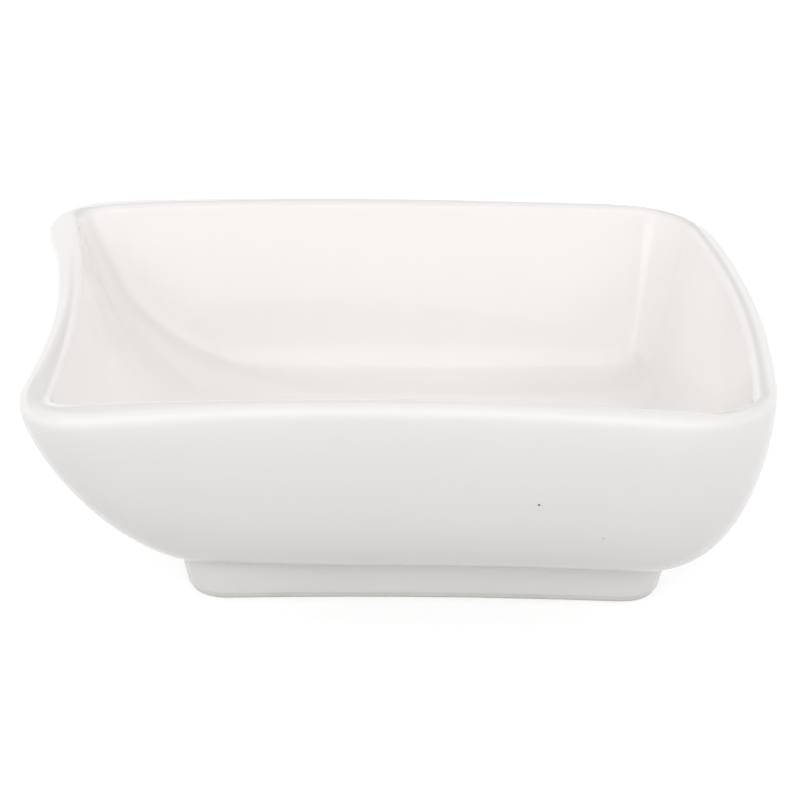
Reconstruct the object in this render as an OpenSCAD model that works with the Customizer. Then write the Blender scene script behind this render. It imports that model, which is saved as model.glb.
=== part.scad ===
// A small soy sauce dish in glazed white porcelain.
// The dish is a rounded quadrilateral: its left side is drawn in, its right side
// swells out, and it stands on a low foot ring. A glass skin covers the clay
// everywhere except the standing edge, which is wiped bare before firing.

/* [Rim] */
// Overall length, left to right
dish_length = 92; // [75:0.5:120]
// Overall depth, front to back
dish_depth = 79.2; // [65:0.1:105]
// Height of the rim at the middle of the long sides
rim_height = 32.1; // [26:0.1:42]
// How far the two left corners of the rim hang below the middle of the long sides
corner_drop = 1.95; // [0:0.05:4]
// How far the two right corners of the rim hang below the middle of the long sides
right_corner_drop = 1.25; // [0:0.05:4]
// How far the rim dips at the middle of the left side
left_dip = 1.2; // [0:0.1:3]
// How far the rim dips at the middle of the right side
right_dip = 0.7; // [0:0.1:3]
// How far the left side is drawn in at its middle
left_draw = 5.2; // [0:0.1:9]
// How far the right side swells beyond its own corners
right_swell = 3.6; // [0:0.1:6]
// How far the long sides are drawn in at their middles
long_draw = 2.2; // [0:0.1:4]
// How far the back left corner stands out, and the front left one draws in by as much
corner_shift = 0.8; // [-2:0.1:2]
// Plan radius of the two left corners, outside
left_corner_r = 12.8; // [8:0.1:18]
// Plan radius of the two right corners, outside
right_corner_r = 12.8; // [9:0.1:20]

/* [Lip] */
// Width of the lip, seen from above
lip_width = 3.3; // [2.6:0.1:5]
// Round on the outer edge of the lip
lip_outer_r = 1.6; // [0.8:0.1:2]
// Round on the inner edge of the lip
lip_inner_r = 1.2; // [0.4:0.1:1.4]
// Extra lip width at the two left corners
lip_corner_extra = 2; // [0:0.1:3]
// How much tighter the two left corners are inside the lip than round the same centre as outside
left_tighter = 3; // [0:0.1:5]
// How much tighter the two right corners are inside the lip
right_tighter = 3; // [0:0.1:5]

/* [Inside] */
// Height of the inside floor at its edge
floor_height = 7.4; // [6.6:0.1:9]
// How far the middle of the floor hangs below its edge
floor_dip = 0.3; // [0:0.05:0.6]
// Length of the flat floor
floor_length = 45; // [40:0.1:47]
// Depth of the flat floor, front to back
floor_depth = 43.8; // [40:0.1:46]
// How far the floor's middle lies right of the dish's middle
floor_shift = 10.3; // [7:0.1:12]
// Plan radius of the two left corners of the floor
floor_left_r = 10; // [6:0.5:18]
// Plan radius of the two right corners of the floor
floor_right_r = 4.5; // [3:0.5:10]
// Cove radius where the floor meets the long walls
cove_r = 8; // [6:0.1:9]
// Cove radius where the floor meets the right wall
right_cove_r = 6; // [4:0.1:9]
// Cove radius where the floor meets the sloping left wall
left_cove_r = 24; // [12:0.1:25]

/* [Foot] */
// Length of the foot where it meets the bowl
foot_length = 60.6; // [56:0.1:66]
// Depth of the foot where it meets the bowl
foot_depth = 49.8; // [46:0.1:54]
// How far the foot's middle lies right of the dish's middle
foot_shift = 3.6; // [2:0.1:5]
// Height of the foot from the table to the bowl
foot_height = 5.6; // [4.4:0.1:6.2]
// Plan radius of the foot's corners
foot_corner_r = 6.5; // [5:0.1:10]
// How far the foot narrows on each side from the bowl to the table
foot_taper = 1.4; // [0.4:0.1:2]
// How far the foot's long sides are drawn in at their middles
foot_draw = 1.2; // [0:0.1:2]
// Depth of the hollow under the dish, which is the height of the foot ring
recess_depth = 2.2; // [1.6:0.1:3]
// Width of the foot ring where it stands
ring_width = 3; // [2:0.1:4]
// How far the ring's inner side leans out over its height
ring_draft = 0.5; // [0:0.1:1]
// Round on both edges of the standing face
edge_r = 0.6; // [0.2:0.1:0.6]

/* [Glaze] */
// Thickness of the fired glaze
glaze = 0.25; // [0.15:0.05:0.4]
// Height of the wiped line where the glaze ends above the table
glaze_line = 0.9; // [0.7:0.1:1.2]

/* [Hidden] */

// Counts of the mesh: steps round a corner, steps along a side, steps up each stretch
corner_steps = 8;
side_steps = 9;
cove_steps = 8;
wall_steps = 5;
round_steps = 3;
body_steps = 11;
edge_steps = 3;
// Most that the first step of a side may be, as a multiple of its average step
steepest_pace = 3;

// Fullness of the outer wall's curve: 2 is an ellipse, 1 a straight slope
right_fullness = 1.8;
left_fullness = 1.27;
corner_fullness = 0.2;
// Where the outer wall starts to flatten towards the left end, and over what stretch, as shares
// of the half length
flatter_from = 0.3;
flatter_over = 0.7;
// Size of the flat middle of the floor as a share of the floor
floor_middle_share = 0.5;

clay_colour = [0.93, 0.92, 0.90];
bare_colour = [0.88, 0.86, 0.82];
glaze_colour = [0.97, 0.97, 0.96];

// Plan outlines

// One quarter turn of an outline, anticlockwise from the angle a0
function quarter(cx, cy, r, a0) =
    [for (i = [0:corner_steps])
        let (a = a0 + 90 * i / corner_steps)
        [cx + r * cos(a), cy + r * sin(a)]];

// Length of one step round a corner of radius r
function corner_step(r) = 2 * r * sin(45 / corner_steps);

// Place along a side at a share of its steps, from the paces at which it starts and ends
function paced(share, leave, arrive) =
    let (rest = 1 - share)
    share * share * (3 - 2 * share) + leave * share * rest * rest - arrive * share * share * rest;

// Points strictly between two ends of a side. The steps start and end as long as those round the
// corners of radius r0 and r1 at its ends, so that the walls run on smoothly from the corners
function between(p, q, r0, r1) =
    let (step = norm(q - p) / side_steps,
         leave = min(corner_step(r0) / step, steepest_pace),
         arrive = min(corner_step(r1) / step, steepest_pace))
    [for (i = [1:side_steps - 1]) p + (q - p) * paced(i / side_steps, leave, arrive)];

// Rounded rectangle from half sizes, with its own radii on the left and right pairs of corners
function rounded(a, b, rl, rr) =
    let (fl = quarter(-a + rl, -b + rl, rl, 180), fr = quarter(a - rr, -b + rr, rr, 270),
         br = quarter(a - rr, b - rr, rr, 0), bl = quarter(-a + rl, b - rl, rl, 90),
         n = corner_steps)
    concat(fl, between(fl[n], fr[0], rl, rr), fr, between(fr[n], br[0], rr, rr),
           br, between(br[n], bl[0], rr, rl), bl, between(bl[n], fl[0], rl, rl));

// The sides of a rounded rectangle drawn in, swelled and shifted into the dish's plan
function bent(pts, a, b) =
    [for (p = pts) let (x = p.x / a, y = p.y / b, t = (x + 1) / 2)
        [p.x + (1 - t) * (left_draw * (1 - y * y) - corner_shift * y) - t * right_swell * y * y,
         p.y - long_draw * y * (1 - x * x)]];

function count(pts) = len(pts);
function next(i, n) = (i + 1) % n;
function before(i, n) = (i + n - 1) % n;
function unit(v) = v / norm(v);

// Outward plan direction at each point of an anticlockwise outline
function outward(pts) =
    let (n = count(pts))
    [for (i = [0:n - 1]) let (d = unit(pts[next(i, n)] - pts[before(i, n)])) [d.y, -d.x]];

half_length = dish_length / 2;
half_depth = dish_depth / 2;
rim_raw = bent(rounded(half_length, half_depth, left_corner_r, right_corner_r), half_length, half_depth);
raw_x = [for (p = rim_raw) p.x];
raw_y = [for (p = rim_raw) p.y];
middle_x = (min(raw_x) + max(raw_x)) / 2;
stretch_x = dish_length / (max(raw_x) - min(raw_x));
stretch_y = dish_depth / (max(raw_y) - min(raw_y));

// Centres an outline on the rim's own box and brings it to the overall sizes
function seated(pts) = [for (p = pts) [(p.x - middle_x) * stretch_x, p.y * stretch_y]];

rim = seated(rim_raw);
rim_out = outward(rim);

inner_a = half_length - lip_width;
inner_b = half_depth - lip_width;
left_inner_r = left_corner_r - lip_width - left_tighter;
right_inner_r = right_corner_r - lip_width - right_tighter;
inner_raw = bent(rounded(inner_a, inner_b, left_inner_r, right_inner_r), half_length, half_depth);
inner_raw_out = outward(inner_raw);
// The lip grows wider towards the two left corners
inner = seated([for (i = [0:count(inner_raw) - 1])
    let (x = min(inner_raw[i].x / inner_a, 0), y = inner_raw[i].y / inner_b)
    inner_raw[i] - inner_raw_out[i] * lip_corner_extra * min(x * x, 1) * min(y * y, 1)]);
inner_out = outward(inner);

function shifted(pts, x) = [for (p = pts) p + [x, 0]];

floor_edge = shifted(rounded(floor_length / 2, floor_depth / 2, floor_left_r, floor_right_r), floor_shift);

foot_plan = [for (p = rounded(foot_length / 2, foot_depth / 2, foot_corner_r, foot_corner_r))
    let (x = p.x * 2 / foot_length, y = p.y * 2 / foot_depth)
    [p.x, p.y - foot_draw * y * (1 - x * x)]];
foot_top = shifted(foot_plan, foot_shift);
foot_out = outward(foot_top);

points_round = count(rim);

// Heights and shapes that change round the rim

// Height of the lip above the table at each point of the rim
rim_z = [for (p = rim)
    let (x = p.x / half_length, y = p.y / half_depth, left = min(x, 0), right = max(x, 0),
         drop = corner_drop + (right_corner_drop - corner_drop) * right)
    rim_height - drop * x * x * y * y
        - left_dip * left * left * (1 - y * y) - right_dip * right * right * (1 - y * y)];

// Rises softly from 0 to 1
function eased(s) = let (t = min(max(s, 0), 1)) t * t * (3 - 2 * t);

fullness = [for (p = rim)
    let (x = p.x / half_length, y = p.y / half_depth, flatter = eased((-x - flatter_from) / flatter_over))
    right_fullness + (left_fullness - right_fullness) * flatter + corner_fullness * pow(x * y, 4)];

// Inside, each wall leaves the floor in a cove and runs straight on from it up to the lip. The long
// walls and the right wall are steep; the left one rises slowly, like a spout
wall_rise = rim_height - lip_inner_r - floor_height;
left_run = half_length - lip_width - left_draw - floor_length / 2 + floor_shift;
right_run = half_length - lip_width - floor_length / 2 - floor_shift;
side_run = half_depth - lip_width - long_draw - floor_depth / 2;

// Angle at which the straight part of a wall meets its cove, from the level
function tangent_angle(run, r) =
    let (rest = wall_rise - r) 90 + atan2(rest, run) - acos(r / norm([run, rest]));

// Share of its run that a wall has reached at a share of its rise
function reached(run, r, share) =
    let (a = tangent_angle(run, r), knee = r * (1 - cos(a)), knee_run = r * sin(a),
         height = wall_rise * share)
    height < knee ? sqrt(r * r - (r - height) * (r - height)) / run
        : (knee_run + (run - knee_run) * (height - knee) / (wall_rise - knee)) / run;

// No cove is wider than its wall's run
side_cove = min(cove_r, side_run);
right_cove = min(right_cove_r, right_run);
left_cove = min(left_cove_r, left_run);
side_angle = tangent_angle(side_run, side_cove);

// 0 at the floor's right end and 1 at its left end
to_left = [for (p = floor_edge) eased((1 - (p.x - floor_shift) * 2 / floor_length) / 2)];

// Rings of points up and over the dish, as the glaze's outer face

function at(p, z) = [p.x, p.y, z];

function floor_middle() = [for (i = [0:points_round - 1])
    at([floor_shift, 0] + (floor_edge[i] - [floor_shift, 0]) * floor_middle_share, floor_height - floor_dip)];

function wall_top(i) = rim_z[i] - lip_inner_r;

// Inside ring at a share of the rise from the floor's edge to the lip
function inside_ring(share) =
    let (right = reached(right_run, right_cove, share), left = reached(left_run, left_cove, share),
         side = reached(side_run, side_cove, share))
    [for (i = [0:points_round - 1]) let (d = inner[i] - floor_edge[i])
        at(floor_edge[i] + [d.x * (right + (left - right) * to_left[i]), d.y * side],
           floor_height + (wall_top(i) - floor_height) * share)];

function cove_share(k) = side_cove * (1 - cos(side_angle * k / cove_steps)) / wall_rise;
function cove_ring(k) = inside_ring(cove_share(k));
function wall_ring(k) =
    let (knee = cove_share(cove_steps)) inside_ring(knee + (1 - knee) * k / wall_steps);

function lip_inner_ring(k) = [for (i = [0:points_round - 1])
    let (a = 90 * k / round_steps)
    at(inner[i] + inner_out[i] * lip_inner_r * (1 - cos(a)), wall_top(i) + lip_inner_r * sin(a))];

function lip_outer_ring(k) = [for (i = [0:points_round - 1])
    let (a = 90 * k / round_steps)
    at(rim[i] - rim_out[i] * lip_outer_r * (1 - sin(a)), rim_z[i] - lip_outer_r * (1 - cos(a)))];

function body_ring(k) = [for (i = [0:points_round - 1])
    let (a = 90 * k / body_steps, e = 2 / fullness[i], h = pow(sin(a), e), v = 1 - pow(cos(a), e))
    at(foot_top[i] + (rim[i] - foot_top[i]) * h, foot_height + (rim_z[i] - lip_outer_r - foot_height) * v)];

// The foot's outer side at a height, set in from the glaze's outer face
function foot_ring_at(z, inset) = [for (i = [0:points_round - 1])
    at(foot_top[i] - foot_out[i] * (foot_taper * (1 - z / foot_height) + inset), z)];

upper_rings = concat(
    [floor_middle()],
    [for (k = [0:cove_steps]) cove_ring(k)],
    [for (k = [1:wall_steps]) wall_ring(k)],
    [for (k = [1:round_steps]) lip_inner_ring(k)],
    [for (k = [0:round_steps]) lip_outer_ring(k)],
    [for (k = [1:body_steps - 1]) body_ring(body_steps - k)]);
outer_rings = concat(
    upper_rings,
    [body_ring(0)],
    [foot_ring_at(recess_depth, 0)],
    [foot_ring_at(glaze_line, 0)]);

// The clay's face lies one glaze thickness below the glaze's outer face

// Direction out of the dish at a point of a ring, from its four neighbours
function facing(k, i) =
    let (n = points_round,
         round = outer_rings[k][next(i, n)] - outer_rings[k][before(i, n)],
         over = outer_rings[k + 1][i] - outer_rings[k - 1][i])
    unit(cross(over, round));

upper_count = len(upper_rings);

function clay_upper(k) = [for (i = [0:points_round - 1])
    k == 0 ? outer_rings[0][i] - [0, 0, glaze] : outer_rings[k][i] - facing(k, i) * glaze];

clay_heel = [for (i = [0:points_round - 1]) outer_rings[upper_count][i] + at(-foot_out[i] * glaze, glaze)];

clay_rings = concat(
    [for (k = [0:upper_count - 1]) clay_upper(k)],
    [clay_heel],
    [foot_ring_at(recess_depth, glaze)],
    [foot_ring_at(glaze_line, glaze)]);

// Faces between rings, and lids on the first and last ring

// Two triangles for each step round a pair of rings; flip turns them to face the other way
function band(first, second, flip) =
    let (n = points_round)
    [for (i = [0:n - 1]) let (a = first + i, b = first + next(i, n), c = second + next(i, n), d = second + i)
        each flip ? [[a, c, b], [a, d, c]] : [[a, b, c], [a, c, d]]];

// A fan of triangles that closes a ring round its middle point
function lid(first, centre, flip) =
    let (n = points_round)
    [for (i = [0:n - 1]) let (a = first + i, b = first + next(i, n)) flip ? [b, a, centre] : [a, b, centre]];

function middle(ring) =
    let (x = [for (p = ring) p.x], y = [for (p = ring) p.y], z = [for (p = ring) p.z])
    [(min(x) + max(x)) / 2, (min(y) + max(y)) / 2, min(z)];

function joined(rings) = [for (ring = rings) each ring];

function bands(rings_count, start, flip) =
    [for (k = [0:rings_count - 2])
        each band(start + k * points_round, start + (k + 1) * points_round, flip)];

// Closed solid from rings that start and end with a flat lid
module lidded(rings) {
    n = len(rings);
    all = n * points_round;
    middles = [middle(rings[0]), middle(rings[n - 1])];
    faces = concat(bands(n, 0, false), lid(0, all, true), lid(all - points_round, all + 1, false));
    polyhedron(concat(joined(rings), middles), faces);
}

// Closed skin between an outer and an under run of rings, each with a lid on its first ring
module skin(outer, under) {
    n = len(outer);
    start = n * points_round;
    middles = [middle(outer[0]), middle(under[0])];
    faces = concat(
        bands(n, 0, false), lid(0, 2 * start, true),
        bands(n, start, true), lid(start, 2 * start + 1, false),
        band(start - points_round, 2 * start - points_round, false));
    polyhedron(concat(joined(concat(outer, under)), middles), faces);
}

// Closed solid from rings that run round and come back to the first
module looped(rings) {
    n = len(rings);
    faces = concat(bands(n, 0, false), band((n - 1) * points_round, 0, false));
    polyhedron(joined(rings), faces);
}

// The porcelain bowl: floor, walls, lip and the flat base that the ring is set on
module bowl() {
    color(clay_colour) lidded([for (k = [0:len(clay_rings) - 2]) clay_rings[k]]);
}

// The standing face and its two rounded edges, as rings between the foot's sides
ring_outer_low = foot_taper + glaze;
ring_inner_low = ring_outer_low + ring_width;

function ring_side(inset, z) = [for (i = [0:points_round - 1]) at(foot_top[i] - foot_out[i] * inset, z)];

function outer_inset(z) = foot_taper * (1 - z / foot_height) + glaze;
function inner_inset(z) = ring_inner_low - ring_draft * z / recess_depth;

module foot_ring() {
    outer_edge = [for (k = [0:edge_steps]) let (a = 90 * k / edge_steps)
        ring_side(outer_inset(edge_r) + edge_r * (1 - cos(a)), edge_r * (1 - sin(a)))];
    inner_edge = [for (k = [0:edge_steps]) let (a = 90 * k / edge_steps)
        ring_side(inner_inset(edge_r) - edge_r * (1 - sin(a)), edge_r * (1 - cos(a)))];
    color(bare_colour) looped(concat(
        [foot_ring_at(recess_depth, glaze), foot_ring_at(glaze_line, glaze)],
        outer_edge, inner_edge,
        [ring_side(inner_inset(glaze_line), glaze_line)],
        [ring_side(inner_inset(recess_depth), recess_depth)]));
}

// The glaze over the inside, the lip, the outside and the foot's outer side
module glaze_coat() {
    color(glaze_colour) skin(outer_rings, clay_rings);
}

// The glaze in the hollow under the dish, up the ring's inner side and over the base
module underside_glaze() {
    under = [ring_side(inner_inset(recess_depth), recess_depth),
             ring_side(inner_inset(glaze_line), glaze_line)];
    outer = [ring_side(inner_inset(recess_depth) + glaze, recess_depth - glaze),
             ring_side(inner_inset(glaze_line) + glaze, glaze_line)];
    color(glaze_colour) skin(under, outer);
}

bowl();
foot_ring();
glaze_coat();
underside_glaze();
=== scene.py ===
import math

import bmesh
import bpy
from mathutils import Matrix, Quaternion, Vector


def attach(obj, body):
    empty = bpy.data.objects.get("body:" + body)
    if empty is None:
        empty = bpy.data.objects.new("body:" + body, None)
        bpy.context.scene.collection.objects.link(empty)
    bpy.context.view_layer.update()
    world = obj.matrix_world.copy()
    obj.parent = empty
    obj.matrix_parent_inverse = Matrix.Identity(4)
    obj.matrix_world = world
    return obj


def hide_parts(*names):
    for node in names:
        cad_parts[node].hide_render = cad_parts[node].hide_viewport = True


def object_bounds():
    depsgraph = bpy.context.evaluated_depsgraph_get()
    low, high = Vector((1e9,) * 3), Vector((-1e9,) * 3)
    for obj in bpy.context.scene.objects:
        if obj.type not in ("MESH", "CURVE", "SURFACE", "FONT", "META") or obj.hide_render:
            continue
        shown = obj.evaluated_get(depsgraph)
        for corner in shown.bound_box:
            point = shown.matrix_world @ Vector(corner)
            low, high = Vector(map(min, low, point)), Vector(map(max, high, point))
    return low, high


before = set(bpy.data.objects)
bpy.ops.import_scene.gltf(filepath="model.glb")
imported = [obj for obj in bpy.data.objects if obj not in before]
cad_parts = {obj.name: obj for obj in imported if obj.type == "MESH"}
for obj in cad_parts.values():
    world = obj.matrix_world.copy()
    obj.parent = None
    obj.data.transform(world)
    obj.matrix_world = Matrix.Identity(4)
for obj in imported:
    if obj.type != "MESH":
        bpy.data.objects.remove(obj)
cad_low, cad_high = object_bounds()


# The glazed dish
# A porcelain bowl pressed as a rounded quadrilateral, with its left side drawn in like a
# spout. It is dipped in warm white glaze, which covers the floor, the coved walls, the
# flat lip and the outside, down to a line wiped clean just above the table.

dish_length, dish_depth, rim_height = cad_high - cad_low
half_length, half_depth = dish_length / 2, dish_depth / 2
corner_steps, side_steps = 9, 10

left_corner_r, right_corner_r = 0.0128, 0.0128
left_draw, right_swell, long_draw, corner_shift = 0.0052, 0.0036, 0.0022, 0.0008
corner_drop, right_corner_drop, left_dip, right_dip = 0.00195, 0.00125, 0.0012, 0.0007
lip_width, lip_outer_r, lip_inner_r, lip_corner_extra = 0.0033, 0.0016, 0.0012, 0.0020
left_tighter, right_tighter = 0.0030, 0.0030
floor_height, floor_dip = 0.0074, 0.0003
floor_length, floor_depth, floor_shift = 0.0450, 0.0438, 0.0103
floor_left_r, floor_right_r = 0.0100, 0.0045
cove_r, right_cove_r, left_cove_r = 0.0080, 0.0060, 0.0240
foot_length, foot_depth, foot_shift, foot_draw = 0.0606, 0.0498, 0.0036, 0.0012
foot_height, foot_corner_r, foot_taper = 0.0056, 0.0065, 0.0014
recess_depth, glaze, glaze_line = 0.0022, 0.00025, 0.0009
right_fullness, left_fullness, corner_fullness, spout_start = 1.8, 1.27, 0.2, 0.3


def paced(share, leave, arrive):
    """Place along a side at a share of its steps, from the paces at which it starts and ends."""
    rest = 1 - share
    return share * share * (3 - 2 * share) + leave * share * rest * rest - arrive * share * share * rest


def rounded(a, b, left_r, right_r):
    """Rounded rectangle with half sizes a and b, anticlockwise from the front left corner.

    The steps along a side start and end as long as those round its corners."""
    corners = [(-1, -1, left_r, 180), (1, -1, right_r, 270), (1, 1, right_r, 0), (-1, 1, left_r, 90)]
    arcs = []
    for side_x, side_y, r, start in corners:
        middle = Vector((side_x * (a - r), side_y * (b - r)))
        turns = [math.radians(start + 90 * i / corner_steps) for i in range(corner_steps + 1)]
        arcs.append([middle + Vector((math.cos(t), math.sin(t))) * r for t in turns])
    points = []
    for arc, after in zip(arcs, arcs[1:] + arcs[:1]):
        side_step = (after[0] - arc[-1]).length / side_steps
        leave = min((arc[-1] - arc[-2]).length / side_step, 3)
        arrive = min((after[1] - after[0]).length / side_step, 3)
        points += arc
        for i in range(1, side_steps):
            points.append(arc[-1].lerp(after[0], paced(i / side_steps, leave, arrive)))
    return points


def bent(points):
    """The sides drawn in and swelled out, as the press mould forms them."""
    shaped = []
    for p in points:
        x, y = p.x / half_length, p.y / half_depth
        t = (x + 1) / 2
        inward = (1 - t) * (left_draw * (1 - y * y) - corner_shift * y) - t * right_swell * y * y
        shaped.append(Vector((p.x + inward, p.y - long_draw * y * (1 - x * x))))
    return shaped


def outward(points):
    """Plan direction out of an anticlockwise outline at each of its points."""
    count = len(points)
    ways = [points[(i + 1) % count] - points[i - 1] for i in range(count)]
    return [Vector((w.y, -w.x)).normalized() for w in ways]


rim_raw = bent(rounded(half_length, half_depth, left_corner_r, right_corner_r))
low_x, high_x = min(p.x for p in rim_raw), max(p.x for p in rim_raw)
high_y = max(p.y for p in rim_raw)


def seated(points):
    """The outline centred on the rim's own box and brought to the overall sizes."""
    middle = (low_x + high_x) / 2
    stretch_x, stretch_y = dish_length / (high_x - low_x), half_depth / high_y
    return [Vector(((p.x - middle) * stretch_x, p.y * stretch_y)) for p in points]


rim = seated(rim_raw)
rim_out = outward(rim)
around = range(len(rim))

inner_a, inner_b = half_length - lip_width, half_depth - lip_width
inner_raw = bent(rounded(inner_a, inner_b, left_corner_r - lip_width - left_tighter,
                         right_corner_r - lip_width - right_tighter))
inner_raw_out = outward(inner_raw)
inner = []
for p, out in zip(inner_raw, inner_raw_out):
    at_left, at_side = min(p.x / inner_a, 0), p.y / inner_b
    inner.append(p - out * lip_corner_extra * min(at_left * at_left, 1) * min(at_side * at_side, 1))
inner = seated(inner)
inner_out = outward(inner)

floor_middle = Vector((floor_shift, 0))
floor_raw = rounded(floor_length / 2, floor_depth / 2, floor_left_r, floor_right_r)
floor_edge = [p + floor_middle for p in floor_raw]
foot_middle = Vector((foot_shift, 0))
foot_top = []
for p in rounded(foot_length / 2, foot_depth / 2, foot_corner_r, foot_corner_r):
    x, y = p.x * 2 / foot_length, p.y * 2 / foot_depth
    foot_top.append(foot_middle + Vector((p.x, p.y - foot_draw * y * (1 - x * x))))
foot_out = outward(foot_top)


def eased(share):
    share = min(max(share, 0), 1)
    return share * share * (3 - 2 * share)


rim_z, fullness = [], []
for p in rim:
    x, y = p.x / half_length, p.y / half_depth
    left, right = min(x, 0), max(x, 0)
    drop = corner_drop + (right_corner_drop - corner_drop) * right
    rim_z.append(cad_low.z + rim_height - drop * x * x * y * y
                 - (left_dip * left * left + right_dip * right * right) * (1 - y * y))
    flatter = eased((-x - spout_start) / (1 - spout_start))
    side_fullness = right_fullness + (left_fullness - right_fullness) * flatter
    fullness.append(side_fullness + corner_fullness * (x * y) ** 4)

wall_rise = rim_height - lip_inner_r - floor_height
left_run = half_length - lip_width - left_draw - floor_length / 2 + floor_shift
right_run = half_length - lip_width - floor_length / 2 - floor_shift
side_run = half_depth - lip_width - long_draw - floor_depth / 2
to_left = [eased((1 - (p.x - floor_shift) * 2 / floor_length) / 2) for p in floor_edge]


def at(p, z):
    return Vector((p.x, p.y, z))


def floor_ring(share):
    """The floor sinks a little towards its middle."""
    z = floor_height - floor_dip * (1 - share * share)
    return [at(floor_middle + (p - floor_middle) * share, z) for p in floor_edge]


def tangent_angle(run, r):
    """Angle from the level at which the straight part of a wall meets its cove."""
    return math.pi / 2 + math.atan2(wall_rise - r, run) - math.acos(r / math.hypot(run, wall_rise - r))


def reached(run, r, share):
    """Share of its run that a wall has reached at a share of its rise."""
    angle = tangent_angle(run, r)
    knee, knee_run, height = r * (1 - math.cos(angle)), r * math.sin(angle), wall_rise * share
    if height < knee:
        return math.sqrt(r * r - (r - height) ** 2) / run
    return (knee_run + (run - knee_run) * (height - knee) / (wall_rise - knee)) / run


def inside_ring(share):
    """The long walls and the right one are steep, and the left one rises like a spout."""
    right, left = reached(right_run, right_cove_r, share), reached(left_run, left_cove_r, share)
    side = reached(side_run, cove_r, share)
    ring = []
    for i in around:
        way = inner[i] - floor_edge[i]
        step = Vector((way.x * (right + (left - right) * to_left[i]), way.y * side))
        z = floor_height + (rim_z[i] - lip_inner_r - floor_height) * share
        ring.append(at(floor_edge[i] + step, z))
    return ring


def lip_inner_ring(share):
    turn = math.pi / 2 * share
    return [at(inner[i] + inner_out[i] * lip_inner_r * (1 - math.cos(turn)),
               rim_z[i] - lip_inner_r * (1 - math.sin(turn))) for i in around]


def lip_outer_ring(share):
    turn = math.pi / 2 * share
    return [at(rim[i] - rim_out[i] * lip_outer_r * (1 - math.sin(turn)),
               rim_z[i] - lip_outer_r * (1 - math.cos(turn))) for i in around]


def body_ring(share):
    """The outer wall falls from the lip to the foot in one full curve."""
    turn = math.pi / 2 * share
    ring = []
    for i in around:
        over = math.sin(turn) ** (2 / fullness[i])
        up = 1 - math.cos(turn) ** (2 / fullness[i])
        z = foot_height + (rim_z[i] - lip_outer_r - foot_height) * up
        ring.append(at(foot_top[i].lerp(rim[i], over), z))
    return ring


def foot_side_ring(z, inset=0):
    return [at(foot_top[i] - foot_out[i] * (foot_taper * (1 - z / foot_height) + inset), z) for i in around]


cove_steps, wall_steps, lip_steps, body_steps = 10, 8, 4, 16
cove_angle = tangent_angle(side_run, cove_r)
cove_turns = [cove_angle * step / cove_steps for step in range(cove_steps + 1)]
cove_shares = [cove_r * (1 - math.cos(turn)) / wall_rise for turn in cove_turns]
above_cove = 1 - cove_shares[-1]
wall_shares = [cove_shares[-1] + above_cove * step / wall_steps for step in range(1, wall_steps + 1)]
dish_rings = [floor_ring(share) for share in (0.2, 0.4, 0.6, 0.8)]
dish_rings += [inside_ring(share) for share in cove_shares + wall_shares]
dish_rings += [lip_inner_ring(step / lip_steps) for step in range(1, lip_steps + 1)]
dish_rings += [lip_outer_ring(step / lip_steps) for step in range(lip_steps + 1)]
dish_rings += [body_ring(1 - step / body_steps) for step in range(1, body_steps + 1)]
hold = 0.0001    # how near a loop lies to an edge to keep it crisp
foot_heights = [0.0046, 0.0036, recess_depth, 0.0014, glaze_line + hold, glaze_line]
dish_rings += [foot_side_ring(z) for z in foot_heights]
dish_rings += [foot_side_ring(glaze_line, glaze / 2), foot_side_ring(glaze_line, glaze),
               foot_side_ring(glaze_line + 2 * hold, glaze), foot_side_ring(recess_depth, glaze)]


def set_ring(piece, ring):
    """Moves the selected loop, point by point, to its place."""
    cage = bmesh.from_edit_mesh(piece.data)
    step = cage.verts.layers.int["step"]
    for vert in cage.verts:
        if vert.select:
            vert.co = ring[vert[step]]
    bmesh.update_edit_mesh(piece.data)


def drawn_up(name, rings):
    """A circle extruded from ring to ring, each new loop set in its place."""
    bpy.ops.object.select_all(action="DESELECT")
    bpy.ops.mesh.primitive_circle_add(vertices=len(rings[0]), radius=half_depth)
    piece = bpy.context.object
    piece.name = piece.data.name = name
    bpy.ops.object.mode_set(mode="EDIT")
    bpy.ops.mesh.select_mode(type="VERT")
    cage = bmesh.from_edit_mesh(piece.data)
    step = cage.verts.layers.int.new("step")
    for vert in cage.verts:
        turn = math.atan2(vert.co.y, vert.co.x) / (2 * math.pi)
        vert[step] = round(turn * len(rings[0])) % len(rings[0])
    bmesh.update_edit_mesh(piece.data)
    bpy.ops.mesh.select_all(action="SELECT")
    set_ring(piece, rings[0])
    for ring in rings[1:]:
        bpy.ops.mesh.extrude_edges_move()
        set_ring(piece, ring)
    return piece


def close_loops(piece):
    """Each open loop is filled and the fill gets a middle point."""
    bpy.ops.mesh.select_all(action="DESELECT")
    bpy.ops.mesh.select_non_manifold(extend=False)
    bpy.ops.mesh.fill_holes(sides=0)
    cage = bmesh.from_edit_mesh(piece.data)
    for face in cage.faces:
        face.select_set(len(face.verts) > 4)
    bmesh.update_edit_mesh(piece.data)
    bpy.ops.mesh.select_mode(type="FACE")
    cage = bmesh.from_edit_mesh(piece.data)
    for face in cage.faces:
        face.select_set(len(face.verts) > 4)
    bmesh.update_edit_mesh(piece.data)
    bpy.ops.mesh.poke()


def smoothed(piece, levels):
    """Faces turned outwards, then the cage is subdivided and shaded smooth."""
    bpy.ops.mesh.select_all(action="SELECT")
    bpy.ops.mesh.normals_make_consistent(inside=False)
    bpy.ops.object.mode_set(mode="OBJECT")
    rounding = piece.modifiers.new("rounding", "SUBSURF")
    rounding.levels = rounding.render_levels = levels
    bpy.ops.object.modifier_apply(modifier=rounding.name)
    bpy.ops.object.shade_smooth()
    piece.data.attributes.remove(piece.data.attributes["step"])


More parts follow.
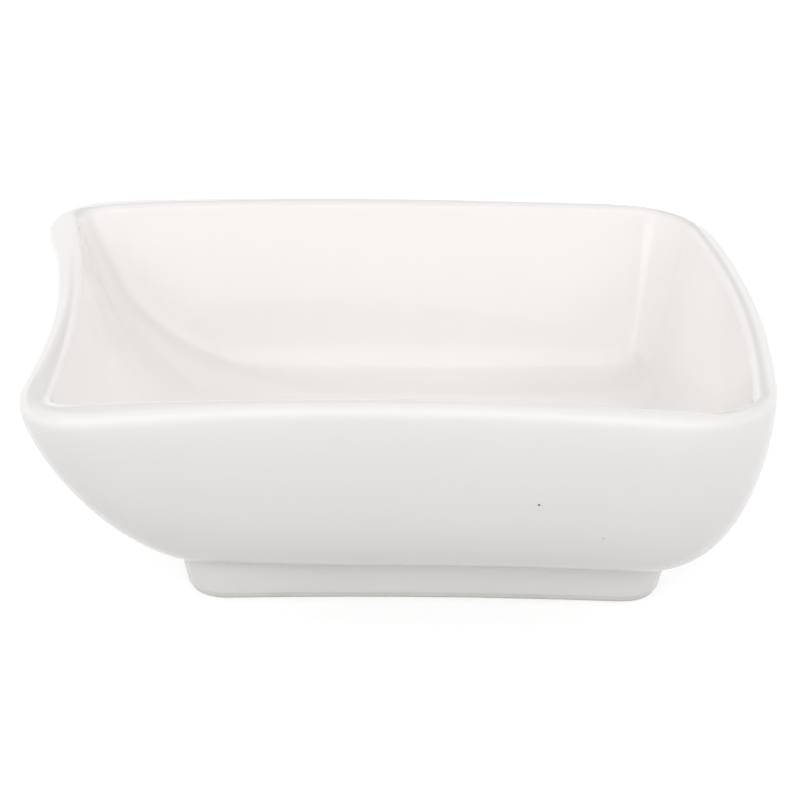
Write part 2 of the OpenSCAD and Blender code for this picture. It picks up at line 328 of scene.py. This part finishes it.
def noise(nodes, links, place, scale, detail):
    texture = nodes.new("ShaderNodeTexNoise")
    texture.inputs["Scale"].default_value = scale
    texture.inputs["Detail"].default_value = detail
    links.new(place, texture.inputs["Vector"])
    return texture.outputs["Fac"]


def spread(nodes, links, value, low, high):
    """The value's middle half brought to the range from low to high."""
    ranged = nodes.new("ShaderNodeMapRange")
    ranged.inputs["From Min"].default_value = 0.3
    ranged.inputs["From Max"].default_value = 0.7
    ranged.inputs["To Min"].default_value = low
    ranged.inputs["To Max"].default_value = high
    links.new(value, ranged.inputs["Value"])
    return ranged.outputs["Result"]


def mixed(nodes, links, share, first, second):
    mix = nodes.new("ShaderNodeMix")
    mix.data_type = "RGBA"
    links.new(share, mix.inputs["Factor"])
    for socket, colour in ((mix.inputs["A"], first), (mix.inputs["B"], second)):
        if isinstance(colour, bpy.types.NodeSocket):
            links.new(colour, socket)
        else:
            socket.default_value = (*colour, 1)
    return mix.outputs["Result"]


def glaze_material():
    """Warm white glaze: faint clouds where it lies thicker, a rippled gloss and iron specks."""
    material = bpy.data.materials.new("white_glaze")
    material.use_nodes = True
    nodes, links = material.node_tree.nodes, material.node_tree.links
    shader = nodes["Principled BSDF"]
    shader.inputs["IOR"].default_value = 1.65
    place = nodes.new("ShaderNodeTexCoord").outputs["Object"]

    clouds = spread(nodes, links, noise(nodes, links, place, 38, 3), 0, 1)
    white = mixed(nodes, links, clouds, (0.890, 0.866, 0.852), (0.910, 0.889, 0.877))

    for spot, reach, colour in (((0.01571, -0.03672, 0.01928), 0.00020, (0.10, 0.07, 0.05)),
                                ((0.02365, -0.03494, 0.01426), 0.00016, (0.60, 0.56, 0.52))):
        iron = nodes.new("ShaderNodeVectorMath")
        iron.operation = "DISTANCE"
        links.new(place, iron.inputs[0])
        iron.inputs[1].default_value = spot
        speck = nodes.new("ShaderNodeMapRange")
        speck.inputs["From Min"].default_value = reach / 2
        speck.inputs["From Max"].default_value = reach
        speck.inputs["To Min"].default_value = 1
        speck.inputs["To Max"].default_value = 0
        links.new(iron.outputs["Value"], speck.inputs["Value"])
        white = mixed(nodes, links, speck.outputs["Result"], white, colour)
    links.new(white, shader.inputs["Base Color"])

    gloss = spread(nodes, links, noise(nodes, links, place, 160, 2), 0.03, 0.07)
    links.new(gloss, shader.inputs["Roughness"])

    ripple = nodes.new("ShaderNodeBump")
    ripple.inputs["Strength"].default_value = 0.12
    ripple.inputs["Distance"].default_value = 0.0001
    links.new(noise(nodes, links, place, 240, 1.5), ripple.inputs["Height"])
    links.new(ripple.outputs["Normal"], shader.inputs["Normal"])
    return material


white_glaze = glaze_material()

dish = drawn_up("glazed_dish", dish_rings)
close_loops(dish)
smoothed(dish, 2)
dish.data.materials.append(white_glaze)
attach(dish, "root")
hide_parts("bowl", "glaze_coat")


# The foot ring
# A low strip of the same porcelain under the base. Its standing face and the last
# millimetre of its sides are wiped bare, so they fire matte, and the face is rubbed smooth
# so that it doesn't scratch the table.

ring_width, ring_draft, edge_r, edge_steps = 0.0030, 0.0005, 0.0006, 4
ring_outer_low = foot_taper + glaze
ring_inner_low = ring_outer_low + ring_width


def inner_inset(z):
    return ring_inner_low - ring_draft * z / recess_depth


def outer_inset(z):
    return foot_taper * (1 - z / foot_height) + glaze


def ring_side(inset, z):
    return [at(foot_top[i] - foot_out[i] * inset, z) for i in around]


near_top = recess_depth - hold
edge_turns = [math.pi / 2 * step / edge_steps for step in range(edge_steps + 1)]
ring_rings = [ring_side(outer_inset(z), z) for z in (recess_depth, near_top, glaze_line)]
for turn in edge_turns:
    inset = outer_inset(edge_r) + edge_r * (1 - math.cos(turn))
    ring_rings.append(ring_side(inset, edge_r * (1 - math.sin(turn))))
for turn in edge_turns:
    inset = inner_inset(edge_r) - edge_r * (1 - math.sin(turn))
    ring_rings.append(ring_side(inset, edge_r * (1 - math.cos(turn))))
ring_rings += [ring_side(inner_inset(z), z) for z in (glaze_line, near_top, recess_depth)]


def bare_material():
    """Unglazed porcelain: matte, fine grained, with a faint bloom where it has stood."""
    material = bpy.data.materials.new("bare_porcelain")
    material.use_nodes = True
    nodes, links = material.node_tree.nodes, material.node_tree.links
    shader = nodes["Principled BSDF"]
    place = nodes.new("ShaderNodeTexCoord").outputs["Object"]
    bloom = spread(nodes, links, noise(nodes, links, place, 210, 4), 0, 1)
    bare_white = mixed(nodes, links, bloom, (0.84, 0.82, 0.78), (0.90, 0.885, 0.86))
    links.new(bare_white, shader.inputs["Base Color"])
    matte = spread(nodes, links, noise(nodes, links, place, 900, 3), 0.62, 0.85)
    links.new(matte, shader.inputs["Roughness"])
    grain = nodes.new("ShaderNodeBump")
    grain.inputs["Strength"].default_value = 0.35
    grain.inputs["Distance"].default_value = 0.00008
    links.new(noise(nodes, links, place, 3200, 3), grain.inputs["Height"])
    links.new(grain.outputs["Normal"], shader.inputs["Normal"])
    return material


foot = drawn_up("bare_foot_ring", ring_rings)
bpy.ops.mesh.select_all(action="DESELECT")
bpy.ops.mesh.select_non_manifold(extend=False)
bpy.ops.mesh.bridge_edge_loops()
smoothed(foot, 1)
foot.data.materials.append(bare_material())
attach(foot, "root")
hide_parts("foot_ring")


# The glaze under the dish
# The same glaze pools in the shallow hollow inside the foot ring. It coats the base and
# runs down the ring's inner side to the wiped line.

half_way = 0.0016
under_rings = [ring_side(inner_inset(z), z) for z in (recess_depth, near_top, glaze_line)]
under_rings += [ring_side(inner_inset(glaze_line) + glaze / 2, glaze_line),
                ring_side(inner_inset(glaze_line) + glaze, glaze_line + glaze / 2),
                ring_side(inner_inset(half_way) + glaze, half_way),
                ring_side(inner_inset(recess_depth) + 3 * glaze, recess_depth - glaze),
                ring_side(inner_inset(recess_depth) + 8 * glaze, recess_depth - glaze)]

under = drawn_up("underside_glaze", under_rings)
close_loops(under)
smoothed(under, 1)
under.data.materials.append(white_glaze)
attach(under, "root")
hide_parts("underside_glaze")


# The floor
# A plain pale table top that the dish stands on. The camera sees it white, and it keeps the
# dish's soft shadow.

floor_size, floor_grey, floor_lift = 1.6, 0.55, 0.62


def background_rays(nodes, links):
    """One for the rays that show the white ground: from the camera, in gloss and through glass."""
    paths = nodes.new("ShaderNodeLightPath")
    shown = paths.outputs["Is Camera Ray"]
    for name in ("Is Glossy Ray", "Is Transmission Ray"):
        either = nodes.new("ShaderNodeMath")
        either.operation = "MAXIMUM"
        links.new(shown, either.inputs[0])
        links.new(paths.outputs[name], either.inputs[1])
        shown = either.outputs["Value"]
    return shown


def floor_material():
    material = bpy.data.materials.new("pale_floor")
    material.use_nodes = True
    nodes, links = material.node_tree.nodes, material.node_tree.links
    shader = nodes["Principled BSDF"]
    shader.inputs["Base Color"].default_value = (floor_grey, floor_grey, floor_grey, 1)
    shader.inputs["Roughness"].default_value = 0.9
    shader.inputs["Specular IOR Level"].default_value = 0.1
    shader.inputs["Emission Color"].default_value = (1, 1, 1, 1)
    lift = nodes.new("ShaderNodeMath")
    lift.operation = "MULTIPLY"
    lift.inputs[1].default_value = floor_lift
    links.new(background_rays(nodes, links), lift.inputs[0])
    links.new(lift.outputs["Value"], shader.inputs["Emission Strength"])
    return material


bpy.ops.object.select_all(action="DESELECT")
bpy.ops.mesh.primitive_plane_add(size=floor_size, location=(0, 0, cad_low.z))
floor = bpy.context.object
floor.name = "floor"
floor.data.materials.append(floor_material())


# Studio light
# A pale room with a dark ceiling. Soft fills from five sides light the dish without showing
# in its glaze, and one wide panel above and in front shows in it as a pale band.

stand_distance, panel_width, band_width = 1.2, 1.6, 2.4


def panel(name, azimuth, elevation, width, height, radiance):
    """A soft panel that faces the dish. Its power comes from its size and its brightness."""
    lamp = bpy.data.lights.new(name, "AREA")
    lamp.shape = "RECTANGLE"
    lamp.size, lamp.size_y = width, height
    lamp.energy = radiance * math.pi * width * height
    stand = bpy.data.objects.new(name, lamp)
    bpy.context.scene.collection.objects.link(stand)
    a, e = math.radians(azimuth), math.radians(elevation)
    way = Vector((math.sin(a) * math.cos(e), -math.cos(a) * math.cos(e), math.sin(e)))
    stand.location = way * stand_distance
    stand.rotation_euler = way.to_track_quat("Z", "Y").to_euler()
    return stand


fills = [("low_fill", 0, 5, 0.3, 1.45),
         ("front_fill", 0, 30, 0.5, 2.15),
         ("top_fill", 0, 80, 0.5, 1.85),
         ("back_fill", 180, 30, 0.5, 1.2),
         ("right_fill", 90, 28, 0.9, 1.08),
         ("left_fill", -90, 28, 0.9, 1.3)]
for name, azimuth, elevation, height, radiance in fills:
    panel(name, azimuth, elevation, panel_width, height, radiance).visible_glossy = False
panel("front_band", 0, 42, band_width, 0.9, 1.0).visible_diffuse = False

room = bpy.data.worlds.new("room")
bpy.context.scene.world = room
room.use_nodes = True
room_nodes, room_links = room.node_tree.nodes, room.node_tree.links
way_up = room_nodes.new("ShaderNodeSeparateXYZ")
room_links.new(room_nodes.new("ShaderNodeTexCoord").outputs["Generated"], way_up.inputs["Vector"])
ceiling = room_nodes.new("ShaderNodeMapRange")
ceiling.interpolation_type = "SMOOTHSTEP"
level = room_nodes.new("ShaderNodeMapRange")
walls_end, ceiling_start, ceiling_level, room_light = 0.27, 0.41, 0.05, 0.25
for ranged, from_low, from_high, to_low, to_high in (
        (ceiling, walls_end, ceiling_start, 1, ceiling_level), (level, 0, 1, room_light, 1)):
    ranged.inputs["From Min"].default_value, ranged.inputs["From Max"].default_value = from_low, from_high
    ranged.inputs["To Min"].default_value, ranged.inputs["To Max"].default_value = to_low, to_high
room_links.new(way_up.outputs["Z"], ceiling.inputs["Value"])
room_links.new(background_rays(room_nodes, room_links), level.inputs["Value"])
room_links.new(ceiling.outputs["Result"], level.inputs["To Max"])
room_links.new(level.outputs["Result"], room_nodes["Background"].inputs["Strength"])
room_nodes["Background"].inputs["Color"].default_value = (1, 1, 1, 1)


# The camera
# A long lens on a stand, a little to the left and about 22 degrees above the table.

photo_width = 800
focal_pixels = 2908.8
camera_distance = 0.37138
camera_data = bpy.data.cameras.new("camera")
camera_data.lens = focal_pixels * camera_data.sensor_width / photo_width
camera = bpy.data.objects.new("camera", camera_data)
bpy.context.scene.collection.objects.link(camera)
bpy.context.scene.camera = camera
azimuth, elevation, roll = math.radians(-2.49), math.radians(22.12), math.radians(1.63)
level_back = math.cos(elevation)
back = Vector((math.sin(azimuth) * level_back, -math.cos(azimuth) * level_back, math.sin(elevation)))
target = Vector((0.00083, -0.00005, 0.01729))
camera.location = target + back * camera_distance
camera.rotation_mode = "QUATERNION"
camera.rotation_quaternion = back.to_track_quat("Z", "Y") @ Quaternion((0, 0, 1), roll)
camera_data.clip_start, camera_data.clip_end = 0.01, 50

bpy.context.scene.view_settings.view_transform = "Standard"
